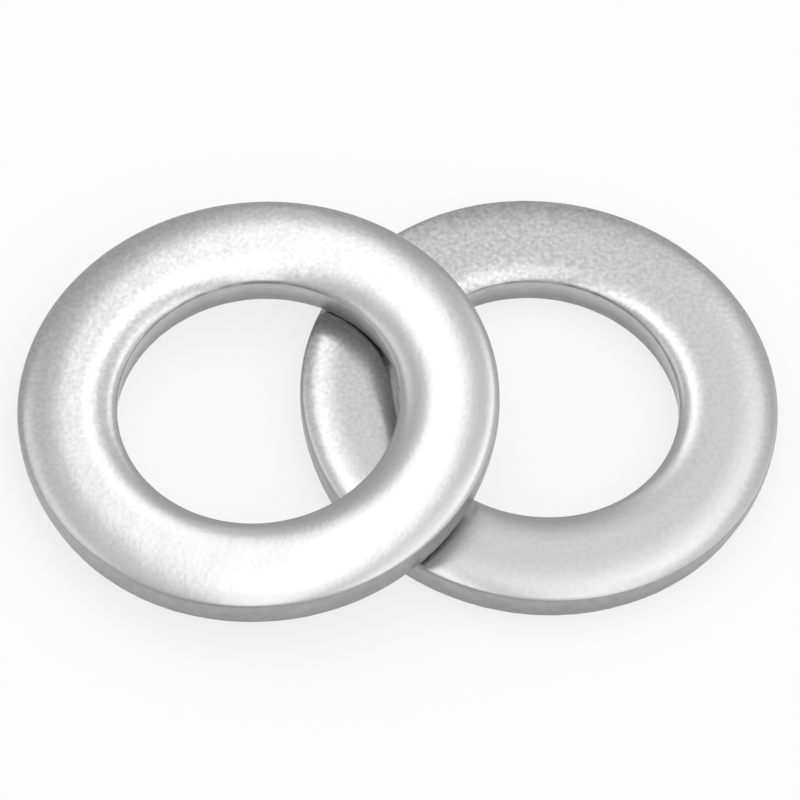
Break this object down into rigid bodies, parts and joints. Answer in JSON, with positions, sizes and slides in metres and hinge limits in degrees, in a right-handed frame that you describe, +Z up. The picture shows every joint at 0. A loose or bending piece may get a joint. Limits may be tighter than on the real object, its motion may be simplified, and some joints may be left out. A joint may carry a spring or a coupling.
{
  "type": "flat washer pair",
  "caption": "Stamped flat ring washers with rolled upper edges, overlapping, with the upper tilted across the lower's rim; they spread the load of a screw head or nut.",
  "frame": {"origin": "centre of the pair's footprint, on the surface that both washers touch", "axes": "+Z up from that surface; +X along the line between the two washers, from the leaning one to the flat one"},
  "size_m": [0.0286, 0.018, 0.0037],
  "materials": {
    "lower_washer": "tumbled satin",
    "upper_washer": "tumbled satin"
  },
  "bodies": {
    "root": {"lower_washer": "lower_washer", "upper_washer": "upper_washer"}
  },
  "joints": []
}
